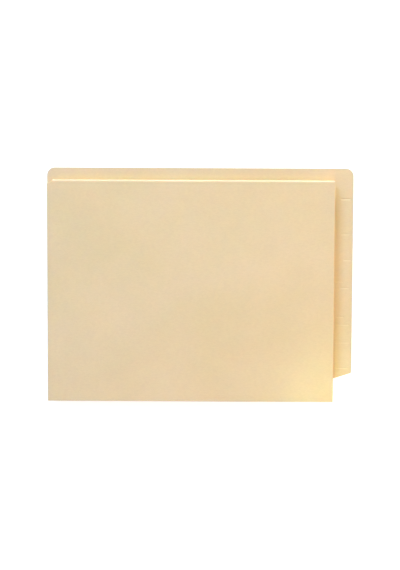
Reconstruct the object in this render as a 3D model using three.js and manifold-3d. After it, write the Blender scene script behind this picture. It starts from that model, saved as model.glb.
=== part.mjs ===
import * as THREE from "three";
import { mergeVertices } from "three/addons/utils/BufferGeometryUtils.js";
import Module from "manifold-3d";

// Side tab file pocket, lying on its back, in millimetres.
// +X points to the side tab, +Y to the open mouth, +Z up out of the front panel.
// Two folded paper sheets make it: a back sheet with the tab, and a pocket sheet that is
// creased into a front panel, three gussets and three flaps glued to the back sheet.

const wasm = await Module();
wasm.setup();

// Outline of the letter-size pocket (inches turned into millimetres).
const INCH = 25.4;
const BODY_WIDTH = 11.5 * INCH;
const TAB_WIDTH = 0.75 * INCH;
const BACK_HEIGHT = 9.5 * INCH;
const FRONT_DROP = 11.5;
const CORNER_RADIUS = 7.9;
const TAB_OUTER_LENGTH = 212.1;
const TAB_TAPER = 6.2;
const TAB_TIP_RADIUS = 2;

// Paper and glue.
const BACK_PAPER = 0.36;
const POCKET_PAPER = 0.28;
const GLUE_FILM = 0.1;

// Gussets.
const GUSSET_EXPANSION = 1.75 * INCH;
const REST_OPENING = 7.6;
const FLAP_WIDTH = 16;
const FLAP_END_TAPER = 4;
const GLUE_MARGIN = 2;
const CREASE_GAP = 0.25;
const MITRE_GAP = 0.5;
const GUSSET_TOP_SLOPE = 0.5;

// Front panel's chamfered top corners, the left one wider, and its turned-over top hem.
const LEFT_CHAMFER = 6.6;
const RIGHT_CHAMFER = 0.8;
const CHAMFER_DROP = 4.2;
const HEM_RADIUS = 1.65;
const HEM_DEPTH = 10.5;
const HEM_BLEND = 6.5;
const HEM_END_STEP = 2;

// Blind score lines across the tab: distance of each below the top edge, inner end, length.
const SCORE_DEPTH = 0.08;
const SCORE_WIDTH = 0.5;
const SCORES = [
  { drop: 31.9, inset: 6.1, length: 10.2 },
  { drop: 67.5, inset: 6.1, length: 10.2 },
  { drop: 94.6, inset: 9.2, length: 8.2 },
  { drop: 116.9, inset: 1.4, length: 8.2 },
  { drop: 123.5, inset: 5.4, length: 10.2 },
  { drop: 153.5, inset: 1.7, length: 9.2 },
  { drop: 161.9, inset: 1.7, length: 14.3 },
  { drop: 180.5, inset: 1.9, length: 15.3 },
  { drop: 207.2, inset: 2.2, length: 13.3 },
];

const ROUND_STEPS = 20;
const CORNER_STEPS = 10;
const CURVE_STEPS = 14;

// Derived positions.
const OVERALL_WIDTH = BODY_WIDTH + TAB_WIDTH;
const LEFT = -OVERALL_WIDTH / 2;
const RIGHT = LEFT + BODY_WIDTH;
const TAB_EDGE = OVERALL_WIDTH / 2;
const BOTTOM = -BACK_HEIGHT / 2;
const BACK_TOP = BACK_HEIGHT / 2;
const FRONT_TOP = BACK_TOP - FRONT_DROP;
const LEAF_WIDTH = GUSSET_EXPANSION / 2;
const LEAF_TILT = Math.asin(POCKET_PAPER / LEAF_WIDTH);
const REST_ANGLE = Math.asin(REST_OPENING / (2 * LEAF_WIDTH));
const FLAP_BASE = BACK_PAPER + GLUE_FILM;
const BACK_CREASE = FLAP_BASE + POCKET_PAPER;
const FRONT_CREASE = BACK_CREASE + REST_OPENING;
const FOLD_RADIUS = POCKET_PAPER;
const LEFT_CREASE = LEFT + FOLD_RADIUS;
const RIGHT_CREASE = RIGHT - FOLD_RADIUS;
const BOTTOM_CREASE = BOTTOM + FOLD_RADIUS;
const LEAF_START = FOLD_RADIUS + CREASE_GAP;
const GUSSET_TOP = FRONT_TOP - CHAMFER_DROP;
const TAB_PLY_START = RIGHT + CREASE_GAP;

const BACK_LOOK = { color: 0xe2cfa4, roughness: 0.86, metalness: 0 };
const POCKET_LOOK = { color: 0xe8d5ab, roughness: 0.84, metalness: 0 };
const GUSSET_LOOK = { color: 0xdfcb9f, roughness: 0.88, metalness: 0 };
const GLUE_LOOK = { color: 0xd9cfb4, roughness: 0.55, metalness: 0 };

// Closed prism over a plan outline, from z = base up by height.
function prism(points, base, height) {
  const shape = new THREE.Shape(points.map(([x, y]) => new THREE.Vector2(x, y)));
  const geometry = new THREE.ExtrudeGeometry(shape, { depth: height, bevelEnabled: false });
  geometry.translate(0, 0, base);
  return geometry;
}

// Round bar between two points, used for the rounded outside of a crease.
function bar(from, to, radius) {
  const along = new THREE.Vector3().subVectors(to, from);
  const geometry = new THREE.CylinderGeometry(radius, radius, along.length(), ROUND_STEPS);
  const turn = new THREE.Quaternion();
  turn.setFromUnitVectors(new THREE.Vector3(0, 1, 0), along.clone().normalize());
  geometry.applyQuaternion(turn);
  geometry.translate((from.x + to.x) / 2, (from.y + to.y) / 2, (from.z + to.z) / 2);
  return geometry;
}

// Solid of the boolean library from a closed geometry.
function solid(geometry) {
  const bare = geometry.clone();
  bare.deleteAttribute("normal");
  bare.deleteAttribute("uv");
  const merged = mergeVertices(bare, 1e-4);
  const mesh = new wasm.Mesh({
    numProp: 3,
    vertProperties: new Float32Array(merged.attributes.position.array),
    triVerts: new Uint32Array(merged.index.array),
  });
  return new wasm.Manifold(mesh);
}

function geometryOf(body) {
  const mesh = body.getMesh();
  const geometry = new THREE.BufferGeometry();
  geometry.setAttribute("position", new THREE.BufferAttribute(new Float32Array(mesh.vertProperties), 3));
  geometry.setIndex(new THREE.BufferAttribute(new Uint32Array(mesh.triVerts), 1));
  return geometry;
}

function joined(geometries) {
  let body = solid(geometries[0]);
  for (const geometry of geometries.slice(1)) {
    body = body.add(solid(geometry));
  }
  return geometryOf(body);
}

function piece(name, geometry, look) {
  const flat = geometry.index ? geometry.toNonIndexed() : geometry;
  flat.computeVertexNormals();
  const mesh = new THREE.Mesh(flat, new THREE.MeshStandardMaterial(look));
  mesh.name = name;
  return mesh;
}

// Points of a quarter-round corner from one angle to another.
function corner(cx, cy, radius, fromAngle, toAngle) {
  const points = [];
  for (let i = 0; i <= CORNER_STEPS; i += 1) {
    const angle = fromAngle + ((toAngle - fromAngle) * i) / CORNER_STEPS;
    points.push([cx + radius * Math.cos(angle), cy + radius * Math.sin(angle)]);
  }
  return points;
}

// Tab side of an outline, going up from the tab's root to the rounded top corner.
function tabEdge(rootX) {
  const outerBottom = BACK_TOP - TAB_OUTER_LENGTH;
  const slope = Math.atan2(TAB_TAPER, TAB_WIDTH);
  const cut = TAB_TIP_RADIUS * Math.tan((Math.PI / 2 - slope) / 2);
  const rootY = outerBottom - (TAB_TAPER * (TAB_EDGE - rootX)) / TAB_WIDTH;
  return [
    [rootX, rootY],
    ...corner(TAB_EDGE - TAB_TIP_RADIUS, outerBottom + cut, TAB_TIP_RADIUS, slope - Math.PI / 2, 0),
    ...corner(TAB_EDGE - CORNER_RADIUS, BACK_TOP - CORNER_RADIUS, CORNER_RADIUS, 0, Math.PI / 2),
  ];
}

function backPanel() {
  const outline = [
    [LEFT, BOTTOM],
    [RIGHT, BOTTOM],
    ...tabEdge(RIGHT),
    ...corner(LEFT + CORNER_RADIUS, BACK_TOP - CORNER_RADIUS, CORNER_RADIUS, Math.PI / 2, Math.PI),
  ];
  return piece("back_panel", prism(outline, 0, BACK_PAPER), BACK_LOOK);
}

// Second ply on the tab's front face, with its shallow score lines.
function tabPly() {
  const outline = [...tabEdge(TAB_PLY_START), [TAB_PLY_START, BACK_TOP]];
  let body = solid(prism(outline, FLAP_BASE, POCKET_PAPER));
  const top = FLAP_BASE + POCKET_PAPER;
  for (const score of SCORES) {
    const groove = new THREE.BoxGeometry(score.length, SCORE_WIDTH, 2 * SCORE_DEPTH);
    groove.translate(RIGHT + score.inset + score.length / 2, BACK_TOP - score.drop, top);
    body = body.subtract(solid(groove));
  }
  return piece("tab_ply", geometryOf(body), BACK_LOOK);
}

function tabGlue() {
  const low = BACK_TOP - TAB_OUTER_LENGTH + GLUE_MARGIN;
  const high = BACK_TOP - CORNER_RADIUS;
  const near = TAB_PLY_START + GLUE_MARGIN / 2;
  const far = TAB_EDGE - GLUE_MARGIN;
  const outline = [[near, low], [far, low], [far, high], [near, high]];
  return piece("tab_glue", prism(outline, BACK_PAPER, GLUE_FILM), GLUE_LOOK);
}

// One gusset: `crease` is the fixed coordinate of its outer creases, `inward` the sign of the
// direction into the pocket, and `point(depth, along, z)` places a point of it.
function gussetSides() {
  return [
    {
      name: "left",
      start: BOTTOM_CREASE,
      end: GUSSET_TOP,
      inward: new THREE.Vector3(1, 0, 0),
      along: new THREE.Vector3(0, 1, 0),
      origin: new THREE.Vector3(LEFT_CREASE, 0, 0),
      mitreEnd: false,
    },
    {
      name: "right",
      start: BOTTOM_CREASE,
      end: GUSSET_TOP,
      inward: new THREE.Vector3(-1, 0, 0),
      along: new THREE.Vector3(0, 1, 0),
      origin: new THREE.Vector3(RIGHT_CREASE, 0, 0),
      mitreEnd: false,
    },
    {
      name: "bottom",
      start: LEFT_CREASE,
      end: RIGHT_CREASE,
      inward: new THREE.Vector3(0, 1, 0),
      along: new THREE.Vector3(1, 0, 0),
      origin: new THREE.Vector3(0, BOTTOM_CREASE, 0),
      mitreEnd: true,
    },
  ];
}

// Where a leaf or flap of the gusset ends at a given depth from its outer crease.
function gussetStart(side, depth) {
  return side.start + depth + MITRE_GAP;
}

function gussetEnd(side, depth, slope) {
  if (side.mitreEnd) {
    return side.end - depth - MITRE_GAP;
  }
  return side.end - slope * depth;
}

function trapezoid(side, near, far, slope) {
  return [
    [near, gussetStart(side, near)],
    [far, gussetStart(side, far)],
    [far, gussetEnd(side, far, slope)],
    [near, gussetEnd(side, near, slope)],
  ];
}

// Geometry of a plan outline (depth, along) laid flat at a height.
function laidFlat(side, outline, base, height) {
  const points = outline.map(([depth, along]) => {
    const place = side.origin.clone();
    place.addScaledVector(side.inward, depth);
    place.addScaledVector(side.along, along);
    return [place.x, place.y];
  });
  return prism(points, base, height);
}

function creaseBar(side, depth, z, slope) {
  const from = side.origin.clone();
  from.addScaledVector(side.inward, depth);
  from.addScaledVector(side.along, gussetStart(side, 0));
  const to = side.origin.clone();
  to.addScaledVector(side.inward, depth);
  to.addScaledVector(side.along, gussetEnd(side, 0, slope));
  from.z = z;
  to.z = z;
  return bar(from, to, FOLD_RADIUS);
}

function glueFlap(side) {
  const slope = FLAP_END_TAPER / FLAP_WIDTH;
  const plate = laidFlat(side, trapezoid(side, 0, FLAP_WIDTH, slope), FLAP_BASE, POCKET_PAPER);
  const fold = creaseBar(side, 0, BACK_CREASE, slope);
  return piece(`${side.name}_flap`, joined([plate, fold]), GUSSET_LOOK);
}

function flapGlue(side) {
  const outline = trapezoid(side, GLUE_MARGIN, FLAP_WIDTH - GLUE_MARGIN, 1);
  const film = laidFlat(side, outline, BACK_PAPER, GLUE_FILM);
  return piece(`${side.name}_glue`, film, GLUE_LOOK);
}

// A leaf's own frame: x from its outer crease to the inner crease, z out of the face that
// looks into the V. `up` is +1 for the leaf on the back panel, -1 for the one on the front.
function leafFrame(side, up) {
  const cos = Math.cos(REST_ANGLE);
  const sin = Math.sin(REST_ANGLE);
  const u = side.inward.clone().multiplyScalar(cos);
  u.z = up * sin;
  const n = side.inward.clone().multiplyScalar(-sin);
  n.z = up * cos;
  const v = new THREE.Vector3().crossVectors(n, u);
  const frame = new THREE.Matrix4().makeBasis(u, v, n);
  const place = side.origin.clone();
  place.z = up > 0 ? BACK_CREASE : FRONT_CREASE;
  frame.setPosition(place);
  return { frame, flip: Math.sign(v.dot(side.along)) };
}

function leafPlate(side, near, far, flip) {
  const outline = trapezoid(side, near, far, GUSSET_TOP_SLOPE);
  const plate = prism(outline.map(([depth, along]) => [depth, flip * along]), 0, POCKET_PAPER);
  plate.rotateY(LEAF_TILT);
  return plate;
}

// The back leaf carries the rounded inner crease that both leaves turn on.
function backLeaf(side) {
  const { frame, flip } = leafFrame(side, 1);
  const plate = leafPlate(side, LEAF_START, LEAF_WIDTH, flip);
  const from = new THREE.Vector3(LEAF_WIDTH, flip * gussetStart(side, LEAF_WIDTH), 0);
  const to = new THREE.Vector3(LEAF_WIDTH, flip * gussetEnd(side, LEAF_WIDTH, GUSSET_TOP_SLOPE), 0);
  const geometry = joined([plate, bar(from, to, FOLD_RADIUS)]);
  geometry.applyMatrix4(frame);
  return piece(`${side.name}_back_leaf`, geometry, GUSSET_LOOK);
}

function frontLeaf(side) {
  const { frame, flip } = leafFrame(side, -1);
  const plate = leafPlate(side, LEAF_START, LEAF_WIDTH - LEAF_START, flip);
  plate.applyMatrix4(frame);
  return piece(`${side.name}_front_leaf`, plate, GUSSET_LOOK);
}

// Middle line of the hem in (y, z), from inside the panel round the roll to the glued end.
function hemLine() {
  const half = POCKET_PAPER / 2;
  const cy = FRONT_TOP - HEM_RADIUS;
  const cz = FRONT_CREASE + POCKET_PAPER - HEM_RADIUS;
  const radius = HEM_RADIUS - half;
  const points = [[cy - HEM_RADIUS, FRONT_CREASE + half]];
  for (let i = 0; i <= ROUND_STEPS; i += 1) {
    const angle = Math.PI / 2 - (Math.PI * i) / ROUND_STEPS;
    points.push([cy + radius * Math.cos(angle), cz + radius * Math.sin(angle)]);
  }
  const endY = FRONT_TOP - HEM_BLEND;
  const endZ = FRONT_CREASE - GLUE_FILM - half;
  for (let i = 1; i <= CURVE_STEPS; i += 1) {
    const s = i / CURVE_STEPS;
    const ease = s * s * (3 - 2 * s);
    points.push([cy + (endY - cy) * s, cz - radius + (endZ - cz + radius) * ease]);
  }
  points.push([FRONT_TOP - HEM_DEPTH, endZ]);
  return points;
}

// Outline of a strip of paper of even thickness along a middle line.
function thickened(line, thickness) {
  const outer = [];
  const inner = [];
  line.forEach(([y, z], i) => {
    const before = line[Math.max(i - 1, 0)];
    const after = line[Math.min(i + 1, line.length - 1)];
    const dy = after[0] - before[0];
    const dz = after[1] - before[1];
    const size = Math.hypot(dy, dz);
    outer.push([y - (dz / size) * (thickness / 2), z + (dy / size) * (thickness / 2)]);
    inner.push([y + (dz / size) * (thickness / 2), z - (dy / size) * (thickness / 2)]);
  });
  return [...outer, ...inner.reverse()];
}

// The hem runs between the chamfers. Behind the roll its ends step in and taper at 45 degrees.
function hem() {
  const left = LEFT + LEFT_CHAMFER;
  const right = RIGHT - RIGHT_CHAMFER;
  const strip = prism(thickened(hemLine(), POCKET_PAPER), left, right - left);
  const turn = new THREE.Matrix4();
  turn.makeBasis(new THREE.Vector3(0, 1, 0), new THREE.Vector3(0, 0, 1), new THREE.Vector3(1, 0, 0));
  strip.applyMatrix4(turn);
  const high = FRONT_TOP + HEM_RADIUS;
  const rollEnd = FRONT_TOP - HEM_RADIUS - POCKET_PAPER;
  const low = FRONT_TOP - HEM_DEPTH - POCKET_PAPER;
  const taper = HEM_END_STEP + rollEnd - low;
  const plan = [
    [left, high],
    [left, rollEnd],
    [left + HEM_END_STEP, rollEnd],
    [left + taper, low],
    [right - taper, low],
    [right - HEM_END_STEP, rollEnd],
    [right, rollEnd],
    [right, high],
  ];
  const cutter = prism(plan, FRONT_CREASE - 4 * HEM_RADIUS, 8 * HEM_RADIUS);
  return geometryOf(solid(strip).intersect(solid(cutter)));
}

function frontPanel() {
  const edge = FRONT_TOP - HEM_RADIUS;
  const share = (CHAMFER_DROP - HEM_RADIUS) / CHAMFER_DROP;
  const outline = [
    [LEFT_CREASE, BOTTOM_CREASE],
    [RIGHT_CREASE, BOTTOM_CREASE],
    [RIGHT_CREASE, GUSSET_TOP],
    [RIGHT - RIGHT_CHAMFER * share, edge],
    [LEFT + LEFT_CHAMFER * share, edge],
    [LEFT_CREASE, GUSSET_TOP],
  ];
  const parts = [prism(outline, FRONT_CREASE, POCKET_PAPER), hem()];
  const low = [LEFT_CREASE, RIGHT_CREASE].map((x) => new THREE.Vector3(x, BOTTOM_CREASE, FRONT_CREASE));
  const high = [LEFT_CREASE, RIGHT_CREASE].map((x) => new THREE.Vector3(x, GUSSET_TOP, FRONT_CREASE));
  parts.push(bar(low[0], high[0], FOLD_RADIUS));
  parts.push(bar(low[1], high[1], FOLD_RADIUS));
  parts.push(bar(low[0], low[1], FOLD_RADIUS));
  for (const point of low) {
    const ball = new THREE.SphereGeometry(FOLD_RADIUS, ROUND_STEPS, ROUND_STEPS / 2);
    ball.translate(point.x, point.y, point.z);
    parts.push(ball);
  }
  return piece("front_panel", joined(parts), POCKET_LOOK);
}

// Paste inside the hem, in from both of its tapered ends.
function hemGlue() {
  const high = FRONT_TOP - HEM_BLEND - GLUE_MARGIN / 2;
  const low = FRONT_TOP - HEM_DEPTH + GLUE_MARGIN / 4;
  const left = LEFT + LEFT_CHAMFER + HEM_END_STEP + HEM_DEPTH;
  const right = RIGHT - RIGHT_CHAMFER - HEM_END_STEP - HEM_DEPTH;
  const outline = [[left, low], [right, low], [right, high], [left, high]];
  return piece("hem_glue", prism(outline, FRONT_CREASE - GLUE_FILM, GLUE_FILM), GLUE_LOOK);
}

const pocket = new THREE.Group();
pocket.name = "side_tab_file_pocket";
pocket.add(backPanel(), tabPly(), tabGlue());
for (const side of gussetSides()) {
  pocket.add(glueFlap(side), flapGlue(side), backLeaf(side), frontLeaf(side));
}
pocket.add(frontPanel(), hemGlue());

export default pocket;
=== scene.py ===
import math

import bpy
import numpy as np
from mathutils import Matrix, Vector


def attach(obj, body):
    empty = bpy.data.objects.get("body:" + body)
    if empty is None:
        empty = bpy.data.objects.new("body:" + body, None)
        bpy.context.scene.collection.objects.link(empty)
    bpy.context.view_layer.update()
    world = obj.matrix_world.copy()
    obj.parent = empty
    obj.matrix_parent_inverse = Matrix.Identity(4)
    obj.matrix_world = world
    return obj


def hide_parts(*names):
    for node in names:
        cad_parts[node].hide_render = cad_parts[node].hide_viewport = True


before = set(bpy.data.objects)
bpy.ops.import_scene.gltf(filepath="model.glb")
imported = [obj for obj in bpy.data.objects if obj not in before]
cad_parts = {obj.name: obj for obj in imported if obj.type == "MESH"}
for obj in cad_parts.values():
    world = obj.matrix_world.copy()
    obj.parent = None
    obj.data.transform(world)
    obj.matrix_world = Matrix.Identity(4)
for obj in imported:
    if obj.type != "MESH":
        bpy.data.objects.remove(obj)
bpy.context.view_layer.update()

# Side tab file pocket of creased manila paper, lying on its back, in the frame of its solids.
# +X points to the tab, +Y to the open mouth and +Z up out of the front panel.

MM = 0.001
INCH = 25.4 * MM

# Outline, as in the solids.
BODY_WIDTH = 11.5 * INCH
TAB_WIDTH = 0.75 * INCH
BACK_HEIGHT = 9.5 * INCH
FRONT_DROP = 11.5 * MM
CORNER_RADIUS = 7.9 * MM
TAB_OUTER_LENGTH = 212.1 * MM
TAB_TAPER = 6.2 * MM
TAB_TIP_RADIUS = 2 * MM
TAB_TIP_DRAW = 0.35 * MM
TAB_TIP_BELOW = 0.5 * MM

# Paper, glue, gussets and hem, as in the solids.
BACK_PAPER = 0.36 * MM
POCKET_PAPER = 0.28 * MM
GLUE_FILM = 0.1 * MM
GUSSET_EXPANSION = 1.75 * INCH
REST_OPENING = 7.6 * MM
FLAP_WIDTH = 16 * MM
FLAP_END_SLOPE = 0.25
GUSSET_TOP_SLOPE = 0.5
MITRE_GAP = 0.5 * MM
LEFT_CHAMFER = 6.6 * MM
RIGHT_CHAMFER = 0.8 * MM
CHAMFER_DROP = 4.2 * MM
HEM_RADIUS = 1.65 * MM
HEM_DEPTH = 10.5 * MM
HEM_BLEND = 6.5 * MM
HEM_END_STEP = 2 * MM
GLUE_MARGIN = 2 * MM

# The tab's second ply stands back from the body's edge and ends in a fine tip on the tapered foot.
PLY_SETBACK = 0.25 * MM
PLY_TIP_WIDTH = 0.05 * MM
PLY_TIP_PLACE = 0.98

# Score lines across the tab: distance below the top edge, inner end, length and how hard each is pressed.
SCORE_DROPS = np.array([31.6, 67.8, 94.6, 116.9, 123.5, 153.8, 161.7, 180.4, 207.2]) * MM
SCORE_INSETS = np.array([6.1, 6.1, 9.2, 1.4, 5.4, 1.7, 1.7, 1.9, 2.2]) * MM
SCORE_LENGTHS = np.array([10.2, 10.2, 8.2, 8.2, 10.2, 9.2, 14.3, 15.3, 13.3]) * MM
SCORE_PRESS = np.array([1.6, 0.9, 0.9, 0.8, 0.8, 0.9, 0.8, 0.7, 0.9])
SCORE_HALF_WIDTH = 1.1 * MM
SCORE_DEPTH = 0.15 * MM
SCORE_END_EASE = 0.8 * MM

# The paper is scuffed a little below each score line.
SCUFF_DROP = 0.5 * MM

# How far the sheets are from flat, how much of a leaf's bow is the same all along it, and how far from
# a fold the front panel's waves die out.
PANEL_WAVE = 0.3 * MM
LEAF_BOW = 0.35 * MM
BOW_STEADY = 0.6
WAVE_EASE = 48 * MM

# Slow waves of a paper panel: height, radians per metre on X and Y, and start.
WAVES = [(0.35, 21, 9, 0.7), (0.3, -13, 31, 2.1), (0.2, 47, -17, 4.4), (0.15, 29, 53, 1.2)]

# Room left round the bar of an inner crease, and the height over which the fold bars at the front
# panel's sides die out below the chamfers.
BAR_CLEARANCE = 0.02 * MM
BAR_END = 1.1 * MM

# Width of the greyer rim along the sheets' edges and creases: of the panels, the tab, and flaps and leaves.
RIM_WIDTH = 1.6 * MM
TAB_RIM_WIDTH = 2.2 * MM
CREASE_RIM_WIDTH = 1 * MM

# Grey on the back sheet above the front panel: along its top edge, in its top left corner, and a wider
# place at the left that reaches farther, with how strong each is and how far it goes. The last two start
# at the front panel and come in over the height given last.
SHELF_GREY, SHELF_GREY_DEPTH, SHELF_GREY_END = 0.3, 8 * MM, 12 * MM
CORNER_GREY_DEPTH, CORNER_GREY_REACH = 3.5 * MM, 30 * MM
LEFT_GREY, LEFT_GREY_REACH = 0.35, 60 * MM
GREY_START = 4 * MM

# The band of painted light along the mouth, a warm glow painted on the back sheet: its half width, how far
# its middle lies below the front panel's top, and how it fades at its right and left ends.
PAINTED_GLOW_WIDTH = 6 * MM
PAINTED_GLOW_DROP = 1.5 * MM
PAINTED_GLOW_PAST_RIGHT = 2 * MM
PAINTED_GLOW_RIGHT_EASE = 8 * MM
PAINTED_GLOW_LEFT_EASE = 16 * MM

# Painted shade on the rolled edge, which tones down its highlight: everywhere, more up to a distance from the
# left end, and most at that end. It starts at the foot of the roll and is whole a height above it, given
# last.
ROLL_SHADE = 0.68
MIDDLE_SHADE, MIDDLE_SHADE_END, MIDDLE_SHADE_FADE = 0.17, 190 * MM, 70 * MM
LEFT_END_SHADE, LEFT_END_SHADE_FADE = 0.3, 50 * MM
ROLL_SHADE_START = 0.7 * MM

# A painted highlight along the border of the front panel's chamfered left corner: how strong it is, the
# height over which it comes in, and its width.
CHAMFER_HIGHLIGHT = 1.5
CHAMFER_HIGHLIGHT_START = 1 * MM
CHAMFER_HIGHLIGHT_WIDTH = 1.4 * MM

# Mesh of the back sheet and the tab: how many rows and columns, and where they lie closer together.
BACK_ROW_STEP = 5 * MM
BACK_COLUMNS = 60
BACK_EDGE_COLUMNS = (0.002, 0.006, 0.994, 0.998)
PLY_COLUMNS = 48
CORNER_ROWS = 15
STRIP_ROWS = 14
STRIP_START = 14 * MM
FOOT_ROWS = np.array([1, 0.7, 0.4, 0.1])
TIP_ROWS = np.array([0, 0.25, 0.5, 1])
SCORE_ROWS = 13
SCORE_SPREAD = 1.6

# Mesh of the gussets and the front panel, in the same way. The even rows of the front panel end at
# FIELD_END below the chamfers.
ALONG_ROWS = 61
FLAP_STEP = 2.4 * MM
LEAF_STEP = 1.3 * MM
FRONT_STEP = 4 * MM
FIELD_END = 1.5 * MM
BAR_END_ROWS = np.array([1.1, 0.7, 0.3, 0]) * MM
CHAMFER_ROWS = 5
ROLL_ROWS = 25
HEM_CURVE_ROWS = 15
HEM_STRIP_ROWS = 5
PASTE_COLUMNS = 70
PASTE_ROWS = 4

# Derived positions.
LEFT = -(BODY_WIDTH + TAB_WIDTH) / 2
RIGHT = LEFT + BODY_WIDTH
TAB_EDGE = RIGHT + TAB_WIDTH
BOTTOM = -BACK_HEIGHT / 2
BACK_TOP = BACK_HEIGHT / 2
FRONT_TOP = BACK_TOP - FRONT_DROP
GUSSET_TOP = FRONT_TOP - CHAMFER_DROP
LEAF_WIDTH = GUSSET_EXPANSION / 2
REST_ANGLE = math.asin(REST_OPENING / (2 * LEAF_WIDTH))
FLAP_BASE = BACK_PAPER + GLUE_FILM
BACK_CREASE = FLAP_BASE + POCKET_PAPER
FRONT_CREASE = BACK_CREASE + REST_OPENING
FOLD = POCKET_PAPER
LEFT_CREASE = LEFT + FOLD
RIGHT_CREASE = RIGHT - FOLD
BOTTOM_CREASE = BOTTOM + FOLD
FOOT_TOP = BACK_TOP - TAB_OUTER_LENGTH
FOOT_BOTTOM = FOOT_TOP - TAB_TAPER
ARC_START = BACK_TOP - CORNER_RADIUS
ROLL_START = FRONT_TOP - HEM_RADIUS

# Distances from the outside of a fold, close together round its bend, and where the even ones start;
# and distances from the axis of an inner crease's bar.
FOLD_COLUMNS = FOLD * np.array([0.03, 0.12, 0.3, 0.6, 1, 1.4, 1.7, 1.88, 2, 2.6])
FIELD_START = 4 * FOLD
BAR_COLUMNS = FOLD * np.array([-1, -0.8, -0.5, 0, 0.5, 0.8, 0.97])


# Meshes


def keep_values(mesh, name, values, under=1):
    """Values of a sheet's grid as an attribute of its mesh, on its inner face times under."""
    attribute = mesh.attributes.new(name, "FLOAT", "POINT")
    both = np.concatenate([values.reshape(-1), values.reshape(-1) * under])
    attribute.data.foreach_set("value", both.astype(np.float32))


def closed_sheet(name, outer, inner, rim):
    """Closed sheet from two grids (rows, columns, 3): the outer face, the inner face turned over, and a
    strip of wall round the border. rim (rows, columns) is kept as an attribute, 1 at the greyer edges."""
    rows, columns = outer.shape[:2]
    count = rows * columns
    index = np.arange(count).reshape(rows, columns)
    quads = np.stack([index[:-1, :-1], index[:-1, 1:], index[1:, 1:], index[1:, :-1]], -1).reshape(-1, 4)
    border = np.concatenate([index[0, :-1], index[:-1, -1], index[-1, :0:-1], index[:0:-1, 0]])
    after = np.roll(border, -1)
    walls = np.stack([border, border + count, after + count, after], -1)
    faces = np.concatenate([quads, quads[:, ::-1] + count, walls])
    points = np.concatenate([outer.reshape(-1, 3), inner.reshape(-1, 3)])
    mesh = bpy.data.meshes.new(name)
    mesh.from_pydata(points, [], faces.tolist())
    smooth = np.zeros(len(faces), bool)
    smooth[: 2 * len(quads)] = True
    mesh.polygons.foreach_set("use_smooth", smooth)
    keep_values(mesh, "rim", rim)
    ends = np.empty(2 * len(mesh.edges), int)
    mesh.edges.foreach_get("vertices", ends)
    on_border = np.isin(ends.reshape(-1, 2) % count, border).all(1)
    sharp = mesh.attributes.new("sharp_edge", "BOOLEAN", "EDGE")
    sharp.data.foreach_set("value", on_border)
    mesh.update()
    piece = bpy.data.objects.new(name, mesh)
    bpy.context.scene.collection.objects.link(piece)
    return piece


def finish_piece(piece, body, node, material):
    """The piece rides on a body, stands for a solid and takes a finish."""
    piece.data.materials.append(material)
    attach(piece, body)
    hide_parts(node)
    return piece


def ease(value, width):
    """0 at 0, rising smoothly to 1 at width: s * s * (3 - 2 s)."""
    s = np.clip(value / width, 0, 1)
    return s * s * (3 - 2 * s)


def near(distance, width):
    """1 at 0, falling smoothly to 0 at width."""
    return 1 - ease(distance, width)


def columns_between(left, right, fraction, y):
    """Grid of x, with columns at fractions of the way from the left to the right border, and of y."""
    x = left[:, None] + (right - left)[:, None] * fraction[None, :]
    return x, np.broadcast_to(y[:, None], x.shape)


def spaced(start, end, step, dense=()):
    """Sorted positions from start to end, about a step apart, with the dense ones put in."""
    count = max(2, int(round((end - start) / step)) + 1)
    even = np.linspace(start, end, count)
    extra = np.array([value for value in dense if start < value < end])
    return np.unique(np.round(np.concatenate([even, extra]), 7))


def wave(x, y):
    """Gentle unevenness of a paper panel, from -1 to 1: a sum of four slow sine waves."""
    return sum(height * np.sin(on_x * x + on_y * y + start) for height, on_x, on_y, start in WAVES)


# Back sheet


def tab_edge_x(y):
    """Right border of the back sheet at height y: the body's edge below the tab, the tapered foot,
    the tab's edge, drawn in a little at its lower tip, and a quarter circle at the top corner."""
    foot = RIGHT + (y - FOOT_BOTTOM) * TAB_WIDTH / TAB_TAPER
    edge = np.clip(foot, RIGHT, TAB_EDGE)
    tip = np.clip((FOOT_TOP + TAB_TIP_RADIUS - y) / TAB_TIP_RADIUS, 0, 1)
    drawn = np.minimum(edge, TAB_EDGE - TAB_TIP_DRAW * tip * tip)
    edge = np.where(y > FOOT_TOP - TAB_TIP_BELOW, drawn, edge)
    return edge - corner_inset(y)


def corner_inset(y):
    """How far a quarter-round top corner draws the border in at height y."""
    rise = np.clip(y - ARC_START, 0, CORNER_RADIUS)
    return CORNER_RADIUS - np.sqrt(np.maximum(CORNER_RADIUS**2 - rise**2, 0))


def back_rows(low):
    """Heights of the rows of a back sheet, closer at the foot of the tab, the scores and the corners."""
    angle = np.linspace(0, math.pi / 2, CORNER_ROWS)
    arcs = ARC_START + CORNER_RADIUS * np.sin(angle)
    slant = FOOT_TOP - TAB_TAPER * FOOT_ROWS
    tip = FOOT_TOP + TAB_TIP_RADIUS * TIP_ROWS
    offsets = np.linspace(-SCORE_SPREAD, SCORE_SPREAD, SCORE_ROWS) * SCORE_HALF_WIDTH
    scores = (BACK_TOP - SCORE_DROPS[:, None] + offsets[None, :]).reshape(-1)
    strip = np.linspace(FRONT_TOP - STRIP_START, ARC_START, STRIP_ROWS)
    return spaced(low, BACK_TOP, BACK_ROW_STEP, np.concatenate([arcs, slant, tip, scores, strip]))


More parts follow.
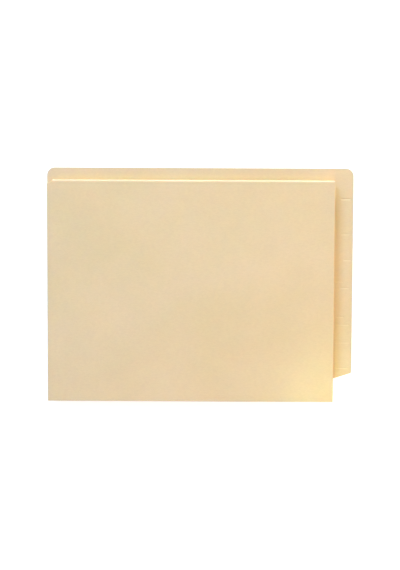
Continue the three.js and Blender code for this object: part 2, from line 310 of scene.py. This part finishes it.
def build_back_panel(material):
    """The back sheet: z = 0 and z = its thickness over its outline. The rim is greyer along its edges and
    towards its top left, and a band of painted light, a warm glow along the mouth, is a bell curve across it."""
    y = back_rows(BOTTOM)
    fraction = spaced(0, 1, 1 / BACK_COLUMNS, BACK_EDGE_COLUMNS)
    left = LEFT + corner_inset(y)
    right = tab_edge_x(y)
    x, yy = columns_between(left, right, fraction, y)
    side = np.minimum(x - left[:, None], right[:, None] - x)
    border = np.minimum(side, np.minimum(yy - BOTTOM, BACK_TOP - yy))
    above_panel = ease(yy - FRONT_TOP, GREY_START)
    grey_places = [
        near(border, RIM_WIDTH),
        SHELF_GREY * near(BACK_TOP - yy, SHELF_GREY_DEPTH) * ease(RIGHT - x, SHELF_GREY_END),
        near(border, CORNER_GREY_DEPTH) * near(x - LEFT, CORNER_GREY_REACH) * above_panel,
        LEFT_GREY * near(x - LEFT, LEFT_GREY_REACH) * above_panel,
    ]
    top = np.stack([x, yy, np.full_like(x, BACK_PAPER)], -1)
    under = np.stack([x, yy, np.zeros_like(x)], -1)
    piece = closed_sheet("back_sheet", top, under, np.maximum.reduce(grey_places))
    # Painted light: a warm glow painted on the back sheet's outer face along the mouth.
    band = np.exp(-(((yy - FRONT_TOP + PAINTED_GLOW_DROP) / PAINTED_GLOW_WIDTH) ** 2))
    inside = ease(RIGHT + PAINTED_GLOW_PAST_RIGHT - x, PAINTED_GLOW_RIGHT_EASE) * ease(x - LEFT, PAINTED_GLOW_LEFT_EASE)
    keep_values(piece.data, "painted_light", band * inside, under=0)
    return finish_piece(piece, "back", "back_panel", material)


def score_press(x, y):
    """Depth of the tab's score lines at a point: a cosine groove across each line, with soft ends."""
    across = (y[..., None] - (BACK_TOP - SCORE_DROPS)) / SCORE_HALF_WIDTH
    groove = 0.5 * (1 + np.cos(np.pi * np.clip(across, -1, 1)))
    start = x[..., None] - (RIGHT + SCORE_INSETS)
    end = (RIGHT + SCORE_INSETS + SCORE_LENGTHS) - x[..., None]
    along = ease(start, SCORE_END_EASE) * ease(end, SCORE_END_EASE)
    return (groove * along * SCORE_PRESS).max(-1)


def build_tab_ply(material):
    """The tab's second ply: its top face is pressed in along the score lines and scuffed beside them."""
    y = back_rows(FOOT_TOP - TAB_TAPER * PLY_TIP_PLACE)
    left = np.full_like(y, RIGHT + PLY_SETBACK)
    right = np.maximum(tab_edge_x(y), left + PLY_TIP_WIDTH)
    x, yy = columns_between(left, right, np.linspace(0, 1, PLY_COLUMNS + 1), y)
    rim = near(np.minimum(right[:, None] - x, BACK_TOP - yy), TAB_RIM_WIDTH)
    height = FLAP_BASE + POCKET_PAPER - SCORE_DEPTH * score_press(x, yy)
    top = np.stack([x, yy, height], -1)
    under = np.stack([x, yy, np.full_like(x, FLAP_BASE)], -1)
    piece = closed_sheet("tab_second_ply", top, under, rim)
    keep_values(piece.data, "scuffed", score_press(x, yy + SCUFF_DROP))
    return finish_piece(piece, "back", "tab_ply", material)


# Gussets


class Gusset:
    """One gusset: where its outer creases lie, which way it folds in, and how its sections end."""

    def __init__(self, name, origin, inward, along, start, end, mitred):
        self.name = name
        self.origin = np.array(origin)
        self.inward = np.array(inward)
        self.along = np.array(along)
        self.start = start
        self.end = end
        self.mitred = mitred

    def ends(self, depth, slope):
        """Lowest and highest position along the crease at a depth: mitres at 45 degrees, sloped top."""
        low = self.start + depth + MITRE_GAP
        high = self.end - depth - MITRE_GAP if self.mitred else self.end - slope * depth
        return low, high

    def place(self, depth, along, z):
        """Point at a depth from the outer crease, a position along it and a height."""
        flat = self.origin + depth[..., None] * self.inward + along[..., None] * self.along
        flat[..., 2] = z
        return flat


GUSSETS = [
    Gusset("left", (LEFT_CREASE, 0, 0), (1, 0, 0), (0, 1, 0), BOTTOM_CREASE, GUSSET_TOP, False),
    Gusset("right", (RIGHT_CREASE, 0, 0), (-1, 0, 0), (0, 1, 0), BOTTOM_CREASE, GUSSET_TOP, False),
    Gusset("bottom", (0, BOTTOM_CREASE, 0), (0, 1, 0), (1, 0, 0), LEFT_CREASE, RIGHT_CREASE, True),
]


def section_grid(gusset, depth, slope):
    """Depth and position grids of a section: rows run along the crease, columns across the depth."""
    low, high = gusset.ends(depth, slope)
    share = np.linspace(0, 1, ALONG_ROWS)[:, None]
    along = low[None, :] + share * (high - low)[None, :]
    return np.broadcast_to(depth[None, :], along.shape), along


def outward_sheet(name, outer, inner, rim, up):
    """closed_sheet with its faces turned so that the outer face looks along up."""
    edge_a = outer[1:, :-1] - outer[:-1, :-1]
    edge_b = outer[:-1, 1:] - outer[:-1, :-1]
    facing = (np.cross(edge_b, edge_a) @ np.array(up)).sum()
    if facing < 0:
        outer = outer[:, ::-1]
        inner = inner[:, ::-1]
        rim = rim[:, ::-1]
    return closed_sheet(name, outer, inner, rim)


def half_round(distance):
    """Height of a round fold of radius FOLD above its axis, at a distance from its outside."""
    return np.sqrt(np.maximum(FOLD**2 - (distance - FOLD) ** 2, 0))


def build_flap(gusset, material):
    """A glued flap: a flat strip whose outer edge is the round bar of the back crease."""
    distance = np.concatenate([FOLD_COLUMNS, spaced(FIELD_START, FLAP_WIDTH + FOLD, FLAP_STEP)])
    depth, along = section_grid(gusset, distance - FOLD, FLAP_END_SLOPE)
    round_part = np.broadcast_to(half_round(distance)[None, :], depth.shape)
    gap = np.broadcast_to(distance[None, :], depth.shape)
    top = BACK_CREASE + np.where(gap < 2 * FOLD, round_part, 0)
    under = BACK_CREASE - np.where(gap < FOLD, round_part, FOLD)
    rim = near(np.minimum(gap, FLAP_WIDTH + FOLD - gap), CREASE_RIM_WIDTH)
    outer = gusset.place(depth, along, top)
    inner = gusset.place(depth, along, under)
    piece = outward_sheet(gusset.name + "_glued_flap", outer, inner, rim, (0, 0, 1))
    return finish_piece(piece, "back", gusset.name + "_flap", material)


def leaf_points(gusset, up, u, along, n):
    """Points of a leaf from its own measures: u from the outer to the inner crease, n out of the face
    that looks into the fold. The leaf rises (or falls, with up = -1) at the rest angle."""
    cos, sin = math.cos(REST_ANGLE), math.sin(REST_ANGLE)
    depth = u * cos - n * sin
    base = BACK_CREASE if up > 0 else FRONT_CREASE
    height = base + up * (u * sin + n * cos)
    return gusset.place(depth, along, height)


def build_leaf(gusset, up, material):
    """A gusset leaf: a sheet from crease axis to crease axis that bows by a sine half wave, stronger and
    weaker along its length. The half on the back panel's side carries the round bar of the inner crease,
    and the other half ends just clear of it, cut off at 45 degrees."""
    if up > 0:
        u = np.concatenate([spaced(0, LEAF_WIDTH - 2 * FOLD, LEAF_STEP), LEAF_WIDTH + BAR_COLUMNS])
    else:
        u = spaced(0, LEAF_WIDTH, LEAF_STEP)
    uu, along = section_grid(gusset, u, GUSSET_TOP_SLOPE)
    top_end = gusset.ends(u, GUSSET_TOP_SLOPE)[1][None, :]
    varying = BOW_STEADY + (1 - BOW_STEADY) * wave(2 * along, uu)
    bow = LEAF_BOW * np.sin(np.pi * np.clip(uu / LEAF_WIDTH, 0, 1)) * varying
    face = POCKET_PAPER * (1 - uu / LEAF_WIDTH) + bow
    back = -POCKET_PAPER * uu / LEAF_WIDTH + bow
    if up > 0:
        bar = half_round(uu - LEAF_WIDTH + FOLD)
        on_bar = np.abs(uu - LEAF_WIDTH) < FOLD
        face = np.where(uu > LEAF_WIDTH, bar, np.where(on_bar, np.maximum(face, bar), face))
        back = np.where(uu > LEAF_WIDTH, -bar, np.where(on_bar, np.minimum(back, -bar), back))
        half, face_cut, back_cut = "back", 0, 0
    else:
        half, face_cut = "front", math.sqrt(2) * (FOLD + BAR_CLEARANCE)
        back_cut = face_cut - FOLD
    border = np.minimum(np.minimum(uu, LEAF_WIDTH - uu), top_end - along)
    rim = near(border, CREASE_RIM_WIDTH)
    outer = leaf_points(gusset, up, uu * (1 - face_cut / LEAF_WIDTH), along, face)
    inner = leaf_points(gusset, up, uu * (1 - back_cut / LEAF_WIDTH), along, back)
    name = f"{gusset.name}_{half}_leaf"
    piece = outward_sheet(name + "_paper", outer, inner, rim, (0, 0, up))
    return finish_piece(piece, name, name, material)


# Front panel


def hem_path():
    """Middle line of the front sheet across the mouth, as y and z: a half circle round the roll, an S
    curve back to the glued strip, where z goes by share * share * (3 - 2 share), and the strip."""
    half = POCKET_PAPER / 2
    centre_z = FRONT_CREASE + POCKET_PAPER - HEM_RADIUS
    radius = HEM_RADIUS - half
    angle = np.linspace(math.pi / 2, -math.pi / 2, ROLL_ROWS)
    roll_y = ROLL_START + radius * np.cos(angle)
    roll_z = centre_z + radius * np.sin(angle)
    share = np.linspace(0, 1, HEM_CURVE_ROWS)[1:]
    end_y = FRONT_TOP - HEM_BLEND
    end_z = FRONT_CREASE - GLUE_FILM - half
    curve_y = ROLL_START + (end_y - ROLL_START) * share
    curve_z = centre_z - radius + (end_z - centre_z + radius) * ease(share, 1)
    strip_y = np.linspace(end_y, FRONT_TOP - HEM_DEPTH, HEM_STRIP_ROWS)[1:]
    strip_z = np.full_like(strip_y, end_z)
    return np.concatenate([roll_y, curve_y, strip_y]), np.concatenate([roll_z, curve_z, strip_z])


def front_line():
    """Middle line of the front sheet from the bottom fold to the end of the hem: y, z, the direction
    (y, z) of its outer face, at right angles to the line, and how many points lie on the flat plate."""
    plate_y = np.concatenate(
        [
            BOTTOM + FOLD_COLUMNS,
            spaced(BOTTOM + FIELD_START, GUSSET_TOP - FIELD_END, FRONT_STEP),
            GUSSET_TOP - BAR_END_ROWS,
            np.linspace(GUSSET_TOP, ROLL_START, CHAMFER_ROWS)[1:-1],
        ]
    )
    plate_rows = len(plate_y)
    path_y, path_z = hem_path()
    y = np.concatenate([plate_y, path_y])
    z = np.concatenate([np.full(plate_rows, FRONT_CREASE + POCKET_PAPER / 2), path_z])
    dy, dz = np.gradient(y), np.gradient(z)
    size = np.hypot(dy, dz)
    flat = np.arange(len(y)) <= plate_rows
    return y, z, np.where(flat, 0, -dz / size), np.where(flat, 1, dy / size), plate_rows


def front_borders(y, past_crown):
    """Left and right border of the front sheet at each row: straight, drawn in evenly along a chamfer, by
    the whole chamfer past the crown of the roll, and on the hem by a step and a 45 degree taper too."""
    climb = np.clip((y - GUSSET_TOP) / CHAMFER_DROP, 0, 1)
    behind = np.maximum(ROLL_START - y, 0)
    taper = HEM_END_STEP * ease(behind, POCKET_PAPER) + np.maximum(behind - POCKET_PAPER, 0)
    left = LEFT + np.where(past_crown, LEFT_CHAMFER + taper, LEFT_CHAMFER * climb)
    right = RIGHT - np.where(past_crown, RIGHT_CHAMFER + taper, RIGHT_CHAMFER * climb)
    return left, right


def panel_wave(x, y):
    """Height of the front panel's unevenness: slow waves that die out towards its three folds."""
    inside = np.minimum(np.minimum(x - LEFT, RIGHT - x), y - BOTTOM)
    return PANEL_WAVE * wave(x, y) * ease(inside, WAVE_EASE)


def build_front_panel(material):
    """The front sheet: its faces lie half its thickness out of its middle line. Its left, right and bottom
    borders are round fold bars, which end where the chamfered corners begin. The rolled top edge carries
    painted shade that tones down its highlight, most at its left end, and the left chamfer has a painted
    highlight along its border."""
    y, z, normal_y, normal_z, plate_rows = front_line()
    row = np.arange(len(y))
    left, right = front_borders(y, row > plate_rows + ROLL_ROWS // 2)
    half_share = np.concatenate([FOLD_COLUMNS, spaced(FIELD_START, BODY_WIDTH / 2, FRONT_STEP)]) / BODY_WIDTH
    share = np.concatenate([half_share, 1 - half_share[::-1][1:]])
    x, yy = columns_between(left, right, share, y)
    distance = np.minimum(np.minimum(x - LEFT, RIGHT - x), yy - BOTTOM)
    bar = np.where((row < plate_rows)[:, None], ease(GUSSET_TOP - yy, BAR_END), 0)
    crown_drop = np.where(distance < FOLD, FOLD - half_round(distance), 0) * bar
    under_drop = np.where(distance < 2 * FOLD, half_round(distance), 0) * bar
    middle = z[:, None] + panel_wave(x, yy)
    out_y = normal_y[:, None] * POCKET_PAPER / 2
    out_z = normal_z[:, None] * POCKET_PAPER / 2
    outer = np.stack([x, yy + out_y, middle + out_z - crown_drop], -1)
    inner = np.stack([x, yy - out_y, middle - out_z - under_drop], -1)
    rim = near(np.minimum(x - LEFT, yy - BOTTOM), RIM_WIDTH)
    piece = closed_sheet("front_sheet", outer, inner, rim)
    # Painted shade on the rolled edge, toning down its highlight, more to the left and most at the left end.
    on_roll = ease(yy - ROLL_START, ROLL_SHADE_START)
    towards_left = MIDDLE_SHADE * near(x - LEFT - MIDDLE_SHADE_END, MIDDLE_SHADE_FADE)
    at_left_end = LEFT_END_SHADE * near(x - LEFT, LEFT_END_SHADE_FADE)
    keep_values(piece.data, "painted_roll_shade", on_roll * (ROLL_SHADE + towards_left + at_left_end))
    # Painted highlight: the bright edge line carried down the left chamfer, off the roll.
    on_chamfer = ease(yy - GUSSET_TOP, CHAMFER_HIGHLIGHT_START) * near(x - left[:, None], CHAMFER_HIGHLIGHT_WIDTH)
    keep_values(piece.data, "painted_light", CHAMFER_HIGHLIGHT * on_chamfer * (1 - on_roll))
    return finish_piece(piece, "front", "front_panel", material)


def build_hem_glue(material):
    """Film of paste inside the hem: it fills the gap between panel and hem and waves with them."""
    high = FRONT_TOP - HEM_BLEND - GLUE_MARGIN / 2
    low = FRONT_TOP - HEM_DEPTH + GLUE_MARGIN / 4
    left = LEFT + LEFT_CHAMFER + HEM_END_STEP + HEM_DEPTH
    right = RIGHT - RIGHT_CHAMFER - HEM_END_STEP - HEM_DEPTH
    x, y = np.meshgrid(np.linspace(left, right, PASTE_COLUMNS), np.linspace(low, high, PASTE_ROWS))
    lift = panel_wave(x, y)
    top = np.stack([x, y, FRONT_CREASE + lift], -1)
    under = np.stack([x, y, FRONT_CREASE - GLUE_FILM + lift], -1)
    piece = closed_sheet("hem_paste", top, under, np.zeros_like(x))
    return finish_piece(piece, "front", "hem_glue", material)


# Finishes

MANILA = (0.837, 0.683, 0.434)
GUSSET_MANILA = (0.815, 0.655, 0.4)
DRY_PASTE = (0.66, 0.56, 0.38)
SLICK_PASTE = (0.74, 0.66, 0.48)

# Noise in the paper: features per metre on X, Y and Z, detail and roughness.
PAPER_NOISE = {
    "shade": ((8, 10, 8), 6, 0.65),
    "yellow": ((10, 9, 10), 5, 0.8),
    "green": ((8, 11, 8), 5, 0.75),
    "fibres": ((330, 760, 500), 4, 0.75),
    "flecks": ((700, 1100, 900), 2, 0.7),
    "grain": ((2600, 3600, 3000), 3, 0.6),
}

# Noise in the paste, in the same way.
PASTE_STREAKS = ((300, 900, 500), 3, 0.6)
PASTE_PATCHES = ((120, 90, 120), 2, 0.5)

# Sockets of a Mix node that mixes colours.
MIX_FIRST, MIX_SECOND, MIX_RESULT = 6, 7, 2

# Values that a sheet's mesh carries.
SHEET_VALUES = ("rim", "painted_light", "painted_roll_shade", "scuffed")

# Layers of tone in the paper: what places each, the range of it that counts and the strength that this
# range is carried over to, and the tone that the colour is multiplied by. None takes the value as it is.
PAPER_TONES = [
    ("shade", (0.38, 0.62, 0, 1), (0.956, 0.943, 0.944)),
    ("yellow", (0.38, 0.62, 0, 1), (1.025, 1.008, 0.96)),
    ("green", (0.4, 0.65, 0, 1), (0.985, 1.025, 0.99)),
    ("fibres", (0.4, 0.7, 0, 0.5), (0.9, 0.89, 0.87)),
    ("flecks", (0.62, 0.74, 0, 0.35), (1.1, 1.1, 1.12)),
    ("rim", None, (0.9, 0.97, 1.08)),
    ("rim", (0.55, 1, 0, 1), (0.98, 1.08, 1.3)),
    # Painted light: the warm glow along the mouth and the highlight on the left chamfer.
    ("painted_light", None, (1.09, 1.1, 1.0)),
    # Painted shade on the rolled edge, toning down its highlight.
    ("painted_roll_shade", None, (0.84, 0.7, 0.7)),
    ("scuffed", None, (1.06, 1.07, 1.1)),
]


def shader_node(tree, kind, place, **settings):
    """A shader node at a place in the tree's layout, with its settings and input values."""
    made = tree.nodes.new(kind)
    made.location = place
    for key, value in settings.items():
        if key in made.inputs:
            made.inputs[key].default_value = value
        else:
            setattr(made, key, value)
    return made


def noise(tree, place, coordinates, stretch, detail, roughness):
    """Fractal noise on object coordinates; stretch is how many features there are per metre on X, Y, Z."""
    mapping = shader_node(tree, "ShaderNodeMapping", (place[0] - 200, place[1]), Scale=stretch)
    made = shader_node(tree, "ShaderNodeTexNoise", place, Scale=1.0, Detail=detail, Roughness=roughness)
    tree.links.new(coordinates, mapping.inputs["Vector"])
    tree.links.new(mapping.outputs["Vector"], made.inputs["Vector"])
    return made.outputs["Fac"]


def spread(tree, place, value, low, high, to_low, to_high):
    """A value's range low to high carried over to to_low to to_high, held at both ends."""
    made = shader_node(tree, "ShaderNodeMapRange", place)
    made.inputs["From Min"].default_value = low
    made.inputs["From Max"].default_value = high
    made.inputs["To Min"].default_value = to_low
    made.inputs["To Max"].default_value = to_high
    tree.links.new(value, made.inputs["Value"])
    return made.outputs["Result"]


def blend_colour(tree, place, factor, first, second, blend="MIX"):
    """Mix of two colours or colour outputs by a factor output, or their product as far as the factor says."""
    made = shader_node(tree, "ShaderNodeMix", place, data_type="RGBA", blend_type=blend)
    tree.links.new(factor, made.inputs["Factor"])
    for value, socket in ((first, made.inputs[MIX_FIRST]), (second, made.inputs[MIX_SECOND])):
        if isinstance(value, bpy.types.NodeSocket):
            tree.links.new(value, socket)
        else:
            socket.default_value = (*value, 1)
    return made.outputs[MIX_RESULT]


def new_material(name):
    """A new material with a Principled shader linked to its output: it, its tree, the shader and the
    object coordinates."""
    material = bpy.data.materials.new(name)
    material.use_nodes = True
    tree = material.node_tree
    tree.nodes.clear()
    output = shader_node(tree, "ShaderNodeOutputMaterial", (2200, 0))
    shader = shader_node(tree, "ShaderNodeBsdfPrincipled", (1900, 0))
    tree.links.new(shader.outputs["BSDF"], output.inputs["Surface"])
    coordinates = shader_node(tree, "ShaderNodeTexCoord", (-1100, 0)).outputs["Object"]
    return material, tree, shader, coordinates


def add_bump(tree, place, height, strength, distance):
    """A bump from a height output."""
    made = shader_node(tree, "ShaderNodeBump", place, Strength=strength, Distance=distance)
    tree.links.new(height, made.inputs["Height"])
    return made


def manila(name, base, rough_low, rough_high):
    """Manila stock: the base colour times layers of tone, which are darker, yellower and greener clouds,
    fibre marks, pale flecks, greyer rims with a paler border, painted light (a warm glow along the mouth and
    a highlight on the left chamfer), painted shade on the rolled edge, and scuffed places. Fibres and a finer
    grain give the bump, and the fibres vary the roughness."""
    material, tree, shader, coordinates = new_material(name)
    shader.inputs["Sheen Weight"].default_value = 0.05
    shader.inputs["Sheen Roughness"].default_value = 0.5
    shader.inputs["Specular IOR Level"].default_value = 0.35
    shader.inputs["Subsurface Weight"].default_value = 0.3
    shader.inputs["Subsurface Radius"].default_value = (1.0, 0.6, 0.3)
    shader.inputs["Subsurface Scale"].default_value = 0.6 * MM
    values = {}
    for row, (source, setting) in enumerate(PAPER_NOISE.items()):
        values[source] = noise(tree, (-600, 900 - 250 * row), coordinates, *setting)
    for row, source in enumerate(SHEET_VALUES):
        kept = shader_node(tree, "ShaderNodeAttribute", (-600, 1150 + 200 * row), attribute_name=source)
        values[source] = kept.outputs["Fac"]
    colour = base
    for step, (source, ranges, tone) in enumerate(PAPER_TONES):
        factor = values[source]
        if ranges is not None:
            factor = spread(tree, (-400, 900 - 250 * step), factor, *ranges)
        colour = blend_colour(tree, (-100 + 180 * step, 500), factor, colour, tone, "MULTIPLY")
    tree.links.new(colour, shader.inputs["Base Color"])
    rough = spread(tree, (1500, -300), values["fibres"], 0.3, 0.7, rough_low, rough_high)
    tree.links.new(rough, shader.inputs["Roughness"])
    fine = add_bump(tree, (1300, -600), values["grain"], 0.25, 0.03 * MM)
    coarse = add_bump(tree, (1500, -600), values["fibres"], 0.3, 0.06 * MM)
    tree.links.new(fine.outputs["Normal"], coarse.inputs["Normal"])
    tree.links.new(coarse.outputs["Normal"], shader.inputs["Normal"])
    return material


def dried_paste(name):
    """Paste under the flaps: a pale, slightly glossy film with brush streaks and dry patches."""
    material, tree, shader, coordinates = new_material(name)
    shader.inputs["Coat Weight"].default_value = 0.15
    streaks = noise(tree, (-400, 200), coordinates, *PASTE_STREAKS)
    patches = noise(tree, (-400, -100), coordinates, *PASTE_PATCHES)
    dryness = spread(tree, (-200, 200), streaks, 0.4, 0.65, 0, 1)
    colour = blend_colour(tree, (0, 200), dryness, DRY_PASTE, SLICK_PASTE)
    tree.links.new(colour, shader.inputs["Base Color"])
    rough = spread(tree, (0, -100), patches, 0.4, 0.6, 0.35, 0.7)
    tree.links.new(rough, shader.inputs["Roughness"])
    bump = add_bump(tree, (300, -300), streaks, 0.4, 0.05 * MM)
    tree.links.new(bump.outputs["Normal"], shader.inputs["Normal"])
    return material


def build_object():
    """All the paper sections and the hem's paste film, each on its body, and the paste finish on the glue
    solids.
    """
    back_stock = manila("manila_back", MANILA, 0.55, 0.7)
    front_stock = manila("manila_front", MANILA, 0.5, 0.65)
    gusset_stock = manila("manila_gusset", GUSSET_MANILA, 0.55, 0.7)
    paste = dried_paste("dried_paste")
    build_back_panel(back_stock)
    build_tab_ply(back_stock)
    for gusset in GUSSETS:
        build_flap(gusset, gusset_stock)
        build_leaf(gusset, 1, gusset_stock)
        build_leaf(gusset, -1, gusset_stock)
    build_front_panel(front_stock)
    build_hem_glue(paste)
    for name in ("tab_glue", "left_glue", "right_glue", "bottom_glue"):
        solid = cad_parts[name]
        solid.data.materials.clear()
        solid.data.materials.append(paste)


# Floor, light and camera

# The floor's half width in metres, and how far below the part it lies.
FLOOR_HALF = 3.0
FLOOR_GAP = 0.02 * MM

# Camera above the part: distance in metres, how it leans towards the mouth and turns, its lens in
# millimetres, and how far it is moved up and right in its own frame.
CAMERA_DISTANCE = 3.6
CAMERA_TILT = math.radians(11.2)
CAMERA_ROLL = math.radians(0.218)
CAMERA_YAW = math.radians(-0.237)
CAMERA_LENS = 222.8
CAMERA_RISE = -0.5 * MM
CAMERA_SHIFT_RIGHT = 0.05 * MM


def build_floor():
    """A large white floor just under the part, bright enough to read as a plain white ground."""
    mesh = bpy.data.meshes.new("floor")
    half, height = FLOOR_HALF, -FLOOR_GAP
    corners = [(-half, -half, height), (half, -half, height), (half, half, height), (-half, half, height)]
    mesh.from_pydata(corners, [], [(0, 1, 2, 3)])
    floor = bpy.data.objects.new("floor", mesh)
    bpy.context.scene.collection.objects.link(floor)
    material = bpy.data.materials.new("white_floor")
    material.use_nodes = True
    shader = material.node_tree.nodes["Principled BSDF"]
    shader.inputs["Base Color"].default_value = (0.9, 0.9, 0.9, 1)
    shader.inputs["Roughness"].default_value = 0.9
    shader.inputs["Emission Color"].default_value = (1, 1, 1, 1)
    shader.inputs["Emission Strength"].default_value = 0.6
    mesh.materials.append(material)


# Soft lights: the point aimed at, azimuth from +X towards +Y and elevation in degrees, distance,
# width and height of the light in metres, and how much red, green and blue it gives on a surface
# that faces it, 1 being full white.
LIGHTS = {
    "key": ((0, 0, 0), 119, 30, 3.0, (1.1, 1.1), (0.201, 0.295, 0.507)),
    "mouth_light": ((0, 0, 0), 90, 15, 3.0, (2.0, 0.5), (0.86, 1.1, 1.2)),
    "warm_side": ((0, 0, 0), 50, 35, 2.4, (1.1, 1.1), (0.36, 0.2, 0.05)),
    "corner_fill": ((0.1, -0.1, 0), -40, 35, 0.7, (0.5, 0.5), (0.483, 0.263, 0.091)),
    "left_fill": ((-0.1, -0.08, 0), 215, 38, 0.8, (0.5, 0.5), (0.036, 0.012, 0.045)),
}

# The room's light overhead and near the horizon, and the rise over which one turns into the other, as
# the sine of the elevation.
ROOM_LIGHT = (0.329, 0.352, 0.398)
HORIZON_LIGHT = (1.0, 1.0, 1.0)
HORIZON_RISE = (0.08, 0.35)

# A small warm spot on the front panel's lower right corner: aim, azimuth, elevation, distance, cone
# in degrees and strength, as above.
GLOW = ((0.132, -0.118, 0.008), -115, 62, 0.6, 13, (0.18, 0.225, 0.075))


def direction(azimuth, elevation):
    """Unit vector towards an azimuth and elevation in degrees."""
    turn, rise = math.radians(azimuth), math.radians(elevation)
    return Vector((math.cos(turn) * math.cos(rise), math.sin(turn) * math.cos(rise), math.sin(rise)))


def hang_light(name, light, aim, way, distance, strength, watts):
    """Places a light at a distance from its aim, turned to it, with watts at full white strength."""
    peak = max(strength)
    light.energy = peak * watts
    light.color = tuple(value / peak for value in strength)
    lamp = bpy.data.objects.new(name, light)
    lamp.location = Vector(aim) + way * distance
    lamp.rotation_euler = (-way).to_track_quat("-Z", "Y").to_euler()
    lamp.visible_camera = False
    bpy.context.scene.collection.objects.link(lamp)


def add_area(name, aim, azimuth, elevation, distance, size, strength):
    """Soft area light. Its power is strength x pi squared x distance squared, so a surface that faces it
    at its aim sends back strength times its own colour."""
    light = bpy.data.lights.new(name, "AREA")
    light.shape = "ELLIPSE"
    light.size, light.size_y = size
    watts = math.pi**2 * distance**2
    hang_light(name, light, aim, direction(azimuth, elevation), distance, strength, watts)


def add_spot(name, aim, azimuth, elevation, distance, cone, strength):
    """Spot that fades out smoothly over its whole cone, with four times an area light's power because
    its watts count for all directions."""
    light = bpy.data.lights.new(name, "SPOT")
    light.spot_size = math.radians(cone)
    light.spot_blend = 1.0
    light.shadow_soft_size = 0.03
    watts = 4 * math.pi**2 * distance**2
    hang_light(name, light, aim, direction(azimuth, elevation), distance, strength, watts)


def build_lights():
    """The soft lights, and the room's light, which is palest near the horizon."""
    for name, setting in LIGHTS.items():
        add_area(name, *setting)
    add_spot("glow", *GLOW)
    world = bpy.data.worlds.new("room")
    bpy.context.scene.world = world
    world.use_nodes = True
    tree = world.node_tree
    heading = shader_node(tree, "ShaderNodeTexCoord", (-900, 0)).outputs["Generated"]
    parts = shader_node(tree, "ShaderNodeSeparateXYZ", (-700, 0))
    tree.links.new(heading, parts.inputs["Vector"])
    height = spread(tree, (-500, 0), parts.outputs["Z"], *HORIZON_RISE, 0, 1)
    colour = blend_colour(tree, (-250, 0), height, HORIZON_LIGHT, ROOM_LIGHT)
    tree.links.new(colour, tree.nodes["Background"].inputs["Color"])


def build_camera():
    """Long-lens camera above the part, leaning towards the mouth: forward is straight down turned by
    the tilt, the frame is turned by the roll, and the distance is along the line of sight."""
    forward = Vector(
        (
            math.sin(CAMERA_YAW),
            -math.sin(CAMERA_TILT) * math.cos(CAMERA_YAW),
            -math.cos(CAMERA_TILT) * math.cos(CAMERA_YAW),
        )
    )
    right = forward.cross(Vector((0, 1, 0))).normalized()
    up = right.cross(forward)
    cos, sin = math.cos(CAMERA_ROLL), math.sin(CAMERA_ROLL)
    turned_right = right * cos + up * sin
    turned_up = up * cos - right * sin
    place = -forward * CAMERA_DISTANCE + turned_up * CAMERA_RISE + turned_right * CAMERA_SHIFT_RIGHT
    camera = bpy.data.cameras.new("camera")
    camera.sensor_width = 36
    camera.lens = CAMERA_LENS
    camera.clip_end = 20
    holder = bpy.data.objects.new("camera", camera)
    matrix = Matrix((turned_right, turned_up, -forward)).transposed().to_4x4()
    matrix.translation = place
    holder.matrix_world = matrix
    bpy.context.scene.collection.objects.link(holder)
    bpy.context.scene.camera = holder


bpy.context.scene.view_settings.view_transform = "Standard"
build_camera()
build_object()
build_floor()
build_lights()
